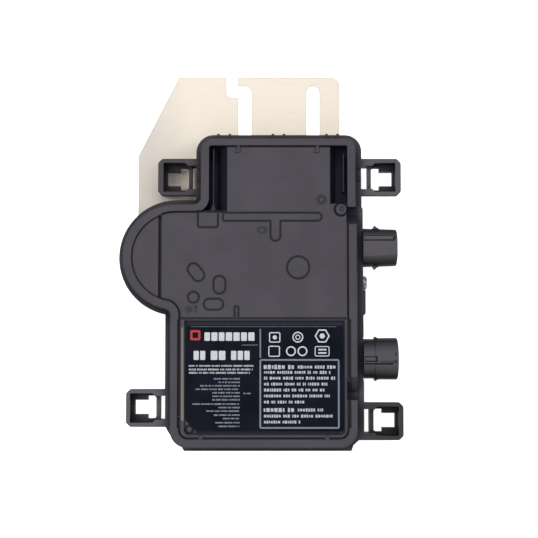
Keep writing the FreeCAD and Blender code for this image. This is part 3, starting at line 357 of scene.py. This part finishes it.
def rubber(name, colour):
    """Soft rubber: matt, with a fine scatter of pale dust."""
    tree = Tree(name)
    grain = tree.noise(0.3, 3.0)
    dust = tree.noise(3.0, 5.0, roughness=0.7)
    body = tree.mix(tree.span(dust, 0.5, 0.75, 0.0, 0.4), colour, shade(colour, 2.2))
    tree.bump(grain, 0.02, 0.5)
    return tree.finish(Base_Color=body, Roughness=tree.span(dust, 0.3, 0.7, 0.62, 0.85))


def clear_plastic(name):
    """Cloudy clear light pipe with small bright facets, painted in as glints."""
    tree = Tree(name)
    facet = tree.noise(1.3, 2.0)
    cloud = tree.noise(0.5, 4.0)
    # painted glints: bright patches on the facets
    body = tree.mix(tree.span(facet, 0.45, 0.6), LENS_DARK, LENS_GLINT)
    tree.bump(tree.math("ADD", facet, tree.math("MULTIPLY", cloud, 0.4)), 0.5, 0.6)
    rough = tree.span(cloud, 0.3, 0.7, 0.12, 0.3)
    return tree.finish(Base_Color=body, Roughness=rough, IOR=1.49, Transmission_Weight=0.35)


def metal(name, colour, roughness):
    """Plain worked metal with a fine grain and duller patches."""
    tree = Tree(name)
    grain = tree.noise(0.4, 4.0, roughness=0.7)
    patch = tree.noise(4.0, 3.0)
    body = tree.mix(tree.span(patch, 0.35, 0.7), colour, shade(colour, 0.78))
    body = tree.mix(tree.math("MULTIPLY", tree.edges(0.2), 0.4), body, shade(colour, 1.15))
    tree.bump(grain, 0.015, 0.4)
    rough = tree.span(tree.math("ADD", grain, patch), 0.7, 1.3, roughness - 0.08, roughness + 0.12)
    return tree.finish(Base_Color=body, Roughness=rough, Metallic=1.0)


def laminate(name):
    """Solder mask over woven glass, with faint copper traces below."""
    tree = Tree(name)
    weave = tree.noise(0.6, 1.0, tree.stretched(1.0, 0.25, 1.0))
    trace = tree.noise(3.0, 0.0, tree.stretched(0.3, 1.0, 1.0))
    body = tree.mix(tree.span(trace, 0.5, 0.52), SOLDER_MASK, shade(SOLDER_MASK, 1.7))
    body = tree.mix(tree.span(weave, 0.3, 0.7, 0.0, 0.25), body, shade(SOLDER_MASK, 0.6))
    tree.bump(trace, 0.03, 0.5)
    return tree.finish(Base_Color=body, Roughness=tree.span(weave, 0.3, 0.7, 0.28, 0.42))


def wound_wire(name):
    """Enamelled copper turns: fine bands round the coil, with painted shade between the turns."""
    tree = Tree(name)
    wave = tree.nodes.new("ShaderNodeTexWave")
    wave.bands_direction = "Z"
    wave.inputs["Scale"].default_value = 260.0
    wave.inputs["Distortion"].default_value = 0.6
    tree.link(tree.place, wave.inputs["Vector"])
    turns = wave.outputs["Fac"]
    body = tree.mix(turns, WIRE_GAP_SHADE, WIRE_LIGHT)
    tree.bump(turns, 0.3, 0.7)
    return tree.finish(Base_Color=body, Roughness=tree.span(turns, 0.0, 1.0, 0.5, 0.28), Metallic=0.8)


def cast(name, colour, roughness, pit_mm=0.6):
    """Cast, dipped or pressed material: small pits and a cloudy tone."""
    tree = Tree(name)
    pit = tree.noise(pit_mm, 4.0, roughness=0.65)
    cloud = tree.noise(7.0, 3.0)
    body = tree.mix(tree.span(cloud, 0.35, 0.65), shade(colour, 0.82), shade(colour, 1.12))
    body = tree.mix(tree.span(pit, 0.6, 0.75, 0.0, 0.5), body, shade(colour, 0.5))
    tree.bump(pit, 0.05, 0.5)
    rough = tree.span(pit, 0.3, 0.7, roughness - 0.08, roughness + 0.1)
    return tree.finish(Base_Color=body, Roughness=rough)


def make_materials():
    """One material for each of the record's slots."""
    return {
        "housing_plastic": moulded("housing_plastic", HOUSING, 0.5, patches=LUG_LIGHT_AND_SHADE),
        "cover_plastic": moulded("cover_plastic", COVER, 0.5, deep_shade=deep_shade_mask),
        "plate_steel": brushed_metal("plate_steel", PLATE, 0.6, 0.12, lower_left=lower_left_fade),
        "screw_steel": metal("screw_steel", (0.56, 0.55, 0.53), 0.32),
        "label_film": label_film("label_film"),
        # painted shade: the connectors' steep sides are made nearly black
        "connector_plastic": moulded(
            "connector_plastic", CONNECTOR, 0.42, 0.4, wall_shade=0.03, reach_mm=4.0, gloss=0.05
        ),
        "carrier_plastic": moulded("carrier_plastic", (0.04, 0.04, 0.045), 0.5, 0.4),
        "contact_metal": metal("contact_metal", (0.83, 0.72, 0.46), 0.25),
        "seal_rubber": rubber("seal_rubber", (0.012, 0.012, 0.013)),
        "lens_plastic": clear_plastic("lens_plastic"),
        "led_plastic": cast("led_plastic", (0.75, 0.75, 0.66), 0.35, 0.3),
        "board_laminate": laminate("board_laminate"),
        "ferrite": cast("ferrite", (0.035, 0.035, 0.038), 0.62),
        "copper_wire": wound_wire("copper_wire"),
        "capacitor_can": metal("capacitor_can", (0.62, 0.63, 0.65), 0.3),
        "film_case": cast("film_case", (0.50, 0.46, 0.30), 0.4),
        "chip_plastic": cast("chip_plastic", (0.017, 0.017, 0.018), 0.55, 0.25),
        "heat_aluminium": brushed_metal("heat_aluminium", (0.78, 0.78, 0.79), 0.36),
        "pad_silicone": rubber("pad_silicone", (0.30, 0.13, 0.16)),
        "varistor_coat": cast("varistor_coat", (0.02, 0.06, 0.26), 0.28),
        "fuse_ceramic": cast("fuse_ceramic", (0.72, 0.69, 0.62), 0.3),
        "potting_resin": cast("potting_resin", (0.015, 0.015, 0.016), 0.4, 1.5),
    }


def dress_nodes(materials):
    """Give every CAD node the material of its slot."""
    for row in frame["record"]["subparts"]:
        mesh = NODES[row["node"]].data
        mesh.materials.clear()
        mesh.materials.append(materials[row["material_slot"]])


# ---- flat print and low marks -----------------------------------------------------------
def rounded_loop(x0, x1, y0, y1, radius, steps=4):
    """Plan points round a rectangle with round corners, in millimetres."""
    points = []
    corners = ((x1, y1, 0), (x0, y1, 90), (x0, y0, 180), (x1, y0, 270))
    for x, y, start in corners:
        cx = x - math.copysign(radius, x - (x0 + x1) / 2)
        cy = y - math.copysign(radius, y - (y0 + y1) / 2)
        for step in range(steps + 1):
            turn = math.radians(start + 90 * step / steps)
            points.append((cx + radius * math.cos(turn), cy + radius * math.sin(turn)))
    return points


def round_loop(x, y, radius, sides):
    """Plan points of a regular polygon, or of a circle when it has many sides."""
    angles = [2 * math.pi * side / sides for side in range(sides)]
    return [(x + radius * math.cos(a), y + radius * math.sin(a)) for a in angles]


def ring_of(bm, loop, z):
    """Points of a plan loop at one height."""
    return [bm.verts.new((x * MM, y * MM, z)) for x, y in loop]


def slab(bm, loop, z0, z1):
    """Closed solid over a plan loop."""
    low, high = ring_of(bm, loop, z0), ring_of(bm, loop, z1)
    bm.faces.new(high)
    bm.faces.new(reversed(low))
    for i in range(len(loop)):
        j = (i + 1) % len(loop)
        bm.faces.new((low[i], low[j], high[j], high[i]))


def band(bm, outer, inner, z0, z1):
    """Closed solid between two plan loops with the same number of points."""
    corners = ((outer, z0), (outer, z1), (inner, z1), (inner, z0))
    rings = [ring_of(bm, loop, z) for loop, z in corners]
    for k in range(4):
        near, far = rings[k], rings[(k + 1) % 4]
        for i in range(len(outer)):
            j = (i + 1) % len(outer)
            bm.faces.new((near[i], near[j], far[j], far[i]))


def piece(name, material, build):
    """A new mesh piece that rides with the body."""
    bm = bmesh.new()
    build(bm)
    bmesh.ops.recalc_face_normals(bm, faces=bm.faces)
    mesh = bpy.data.meshes.new(name)
    bm.to_mesh(mesh)
    bm.free()
    mesh.materials.append(material)
    obj = bpy.data.objects.new(name, mesh)
    bpy.context.scene.collection.objects.link(obj)
    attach(obj, "root")
    return obj


def bar(bm, x0, x1, y, height, radius=0.06):
    """One printed bar, centred on y."""
    loop = rounded_loop(x0, x1, y - height / 2, y + height / 2, radius, 1)
    slab(bm, loop, PRINT_Z, PRINT_Z + PRINT_T)


def text_row(bm, rng, x0, x1, y, height):
    """A row of small plain blocks, grouped like words, between two ends."""
    x = x0
    left_in_word = rng.randint(2, 8)
    while x < x1 - 0.3 * height:
        width = min(height * rng.uniform(0.3, 0.75), x1 - x)
        bar(bm, x, x + width, y, height * rng.uniform(0.7, 1.0), 0.04)
        left_in_word -= 1
        x += width + height * (0.22 if left_in_word else 0.75)
        if not left_in_word:
            left_in_word = rng.randint(2, 8)


def frame_line(bm, x0, x1, y0, y1, width, radius=0.8):
    """Printed rectangle outline."""
    half = width / 2
    outer = rounded_loop(x0 - half, x1 + half, y0 - half, y1 + half, radius + half)
    inner = rounded_loop(x0 + half, x1 - half, y0 + half, y1 - half, radius - half)
    band(bm, outer, inner, PRINT_Z, PRINT_Z + PRINT_T)


def ring_sign(bm, x, y, radius, width, sides):
    """Printed outline of a circle or regular polygon."""
    outer = round_loop(x, y, radius, sides)
    inner = round_loop(x, y, radius - width, sides)
    band(bm, outer, inner, PRINT_Z, PRINT_Z + PRINT_T)


# Rows of small blocks: height on the label and right end, in millimetres.
BLOCK_ROWS = ((-71.3, -4.2), (-73.7, -4.9), (-75.9, -6.8))
# Fine rows that end on one line: height on the label and length.
RIGHT_ALIGNED_ROWS = (
    (-79.8, 17), (-82.1, 14), (-84.4, 26), (-86.7, 29), (-89.0, 18), (-91.3, 18), (-93.6, 18),
    (-96.4, 31), (-98.7, 14), (-101.0, 22), (-103.6, 17), (-105.9, 11), (-108.6, 16), (-111.0, 14),
)
# Rows in the framed area: height on the label, right end, and 1 where the row starts bold.
NOTE_ROWS = (
    (-72.1, 49.5, 1), (-75.6, 46.0, 0), (-79.4, 49.6, 0), (-83.3, 44.0, 0), (-87.2, 43.0, 0),
    (-91.1, 47.0, 0), (-95.1, 29.0, 0), (-100.3, 42.5, 1), (-104.3, 47.5, 0), (-108.2, 26.0, 0),
)
# Groups of large blocks: height on the label, height of a block, and the blocks' edges.
HEADINGS = (
    (-52.0, 5.6, (-37.2, -32.6, -27.7, -23.1, -18.0, -13.0, -8.2, -3.2)),
    (-64.4, 6.0, (-44.3, -40.0, -35.7)),
    (-64.4, 6.0, (-33.0, -27.7, -22.4)),
    (-64.4, 6.0, (-19.6, -15.2, -10.8, -6.4)),
)
HEADING_GAP = 0.9
BLOCK_LEFT = -47.4
NOTE_LEFT = 2.2
FINE_RIGHT = -13.8
ROW_SEED = 7
FINE_SEED = 11


def print_headings(bm):
    """Two bold lines of plain upright blocks."""
    for y, height, edges in HEADINGS:
        for left, right in zip(edges, edges[1:]):
            bar(bm, left, right - HEADING_GAP, y, height, 0.35)


def print_rows(bm):
    """Rows of small blocks where a rating label has its notes."""
    rng = random.Random(ROW_SEED)
    for y, right in BLOCK_ROWS:
        text_row(bm, rng, BLOCK_LEFT, right, y, 1.3)
    for y, right, bold in NOTE_ROWS:
        if bold:
            text_row(bm, rng, 2.0, 22.0, y, 3.0)
            text_row(bm, rng, 24.5, right, y, 2.3)
        else:
            text_row(bm, rng, NOTE_LEFT, right, y, 2.1)


def print_fine_rows(bm):
    """Rows of very small blocks in the left-hand column."""
    rng = random.Random(FINE_SEED)
    for y, length in RIGHT_ALIGNED_ROWS:
        text_row(bm, rng, FINE_RIGHT - length, FINE_RIGHT, y, 1.1)
    text_row(bm, rng, -11.4, -6.6, -89.4, 0.9)


def print_lines(bm):
    """Dividing lines and the frame round the notes."""
    bar(bm, -12.5, -1.9, -57.6, 0.35)
    slab(bm, rounded_loop(-0.7, 0.2, -66.0, -47.0, 0.3, 2), PRINT_Z, PRINT_Z + PRINT_T)
    bar(bm, -46.0, 50.0, -45.5, 0.2)
    frame_line(bm, -0.25, 51.5, -112.0, -67.4, 1.1)


def print_signs(bm):
    """Six plain signs: squares, rings and a split box."""
    frame_line(bm, 5.9, 12.7, -55.6, -49.4, 0.7)
    slab(bm, round_loop(9.3, -52.5, 1.4, 24), PRINT_Z, PRINT_Z + PRINT_T)
    ring_sign(bm, 24.6, -52.4, 3.6, 0.8, 32)
    ring_sign(bm, 24.6, -52.4, 1.7, 0.6, 24)
    ring_sign(bm, 40.7, -51.6, 5.0, 1.0, 6)
    slab(bm, round_loop(40.7, -51.6, 1.9, 6), PRINT_Z, PRINT_Z + PRINT_T)
    frame_line(bm, 5.4, 12.4, -65.0, -58.4, 0.7)
    for x in (20.0, 27.6):
        ring_sign(bm, x, -61.6, 3.3, 0.9, 28)
    frame_line(bm, 36.0, 45.2, -64.8, -58.6, 0.6)
    bar(bm, 38.0, 43.4, -60.6, 1.0)
    bar(bm, 38.0, 43.4, -62.8, 1.0)


def print_red(bm):
    """Plain red square ring, in place of a maker's sign."""
    outer = rounded_loop(-46.6, -39.8, -54.5, -47.7, 1.2)
    inner = rounded_loop(-45.1, -41.3, -53.0, -49.2, 0.5)
    band(bm, outer, inner, PRINT_Z, PRINT_Z + PRINT_T)


def highlight_strip(bm):
    """Thin pale strip on the ledge at the left of the label: a painted highlight where light
    catches the label recess's left edge.
    """
    low, high = FACE_Z - MARK_SINK, FACE_Z + PRINT_T
    slab(bm, ((-50.6, -107.0), (-51.2, -46.0), (-52.5, -46.0), (-52.5, -107.0)), low, high)


def mould_marks(bm):
    """Low moulded marks on the face: a gate point in its ring, an oval, a ring and a plain bar."""
    low, high = FACE_Z - MARK_SINK, FACE_Z + MARK_T
    slab(bm, round_loop(40.4, 39.0, 1.7, 20), low, high)
    band(bm, round_loop(40.4, 39.0, 3.2, 24), round_loop(40.4, 39.0, 2.4, 24), low, high)
    outer_oval = rounded_loop(-2.4, 3.9, 16.6, 20.8, 2.0, 6)
    inner_oval = rounded_loop(-1.7, 3.2, 17.3, 20.1, 1.3, 6)
    band(bm, outer_oval, inner_oval, low, high)
    band(bm, round_loop(-47.7, -34.0, 1.9, 24), round_loop(-47.7, -34.0, 1.2, 24), low, high)
    slab(bm, rounded_loop(-43.5, -42.5, -36.0, -32.0, 0.4, 3), low, high)
    slab(bm, rounded_loop(-43.9, -42.1, -32.6, -31.9, 0.3, 3), low, high)


def add_pieces(materials):
    """Print on the label and marks on the cover."""
    white = ink("label_ink_white", (0.80, 0.83, 0.88))
    pale = ink("label_ink_pale", (0.62, 0.66, 0.74))
    dim = ink("label_ink_dim", (0.32, 0.36, 0.45))
    grey = ink("label_ink_grey", (0.25, 0.28, 0.36))
    red = ink("label_ink_red", (0.62, 0.03, 0.03))
    # painted highlight: colour of the pale strip left of the label
    edge = ink("cover_highlight_strip", (0.23, 0.205, 0.20))
    piece("label_print_headings", white, print_headings)
    piece("label_print_rows", pale, print_rows)
    piece("label_print_fine_rows", dim, print_fine_rows)
    piece("label_print_lines", grey, print_lines)
    piece("label_print_signs", white, print_signs)
    piece("label_print_red", red, print_red)
    piece("cover_highlight_strip", edge, highlight_strip)
    piece("cover_mould_marks", materials["cover_plastic"], mould_marks)


# ---- floor, light and camera ------------------------------------------------------------
def make_floor():
    """Plain pale floor under the part."""
    tree = Tree("studio_floor")
    tone = tree.noise(400.0, 2.0)
    body = tree.mix(tone, (0.93, 0.93, 0.93), (0.95, 0.95, 0.95))
    material = tree.finish(Base_Color=body, Roughness=0.7, Emission_Strength=FLOOR_GLOW)
    mesh = bpy.data.meshes.new("studio_floor")
    half = FLOOR_SIZE / 2
    corners = [(-half, -half, 0), (half, -half, 0), (half, half, 0), (-half, half, 0)]
    mesh.from_pydata(corners, [], [(0, 1, 2, 3)])
    mesh.materials.append(material)
    floor = bpy.data.objects.new("studio_floor", mesh)
    floor.location.z = CAD_BOX[0].z - FLOOR_GAP
    bpy.context.scene.collection.objects.link(floor)


def area_light(name, location, power):
    """Large soft round light that points at the part."""
    data = bpy.data.lights.new(name, "AREA")
    data.shape = "DISK"
    data.size = LAMP_SIZE
    data.energy = power
    lamp = bpy.data.objects.new(name, data)
    lamp.location = location
    towards_part = Vector((0, 0, 0)) - Vector(location)
    lamp.rotation_euler = towards_part.to_track_quat("-Z", "Y").to_euler()
    bpy.context.scene.collection.objects.link(lamp)


def make_light():
    """Faint white surroundings and four wide lamps, one high over each side of the part."""
    world = bpy.data.worlds.new("studio")
    world.use_nodes = True
    background = world.node_tree.nodes["Background"]
    background.inputs["Color"].default_value = (1.0, 1.0, 1.0, 1.0)
    background.inputs["Strength"].default_value = WORLD_STRENGTH
    bpy.context.scene.world = world
    for name, location, power in LAMPS:
        area_light(name, location, power)
    bpy.context.scene.view_settings.view_transform = "Standard"


def make_camera():
    """Camera over the face, tipped a little towards the lower end."""
    data = bpy.data.cameras.new("camera")
    data.lens = CAMERA_LENS
    data.sensor_width = SENSOR_WIDTH
    camera = bpy.data.objects.new("camera", data)
    back = Vector((0, -math.sin(CAMERA_TILT), math.cos(CAMERA_TILT)))
    camera.location = AIM + back * CAMERA_DISTANCE
    camera.rotation_euler = (CAMERA_TILT, 0, 0)
    bpy.context.scene.collection.objects.link(camera)
    bpy.context.scene.camera = camera


slot_materials = make_materials()
dress_nodes(slot_materials)
add_pieces(slot_materials)
make_floor()
make_light()
make_camera()
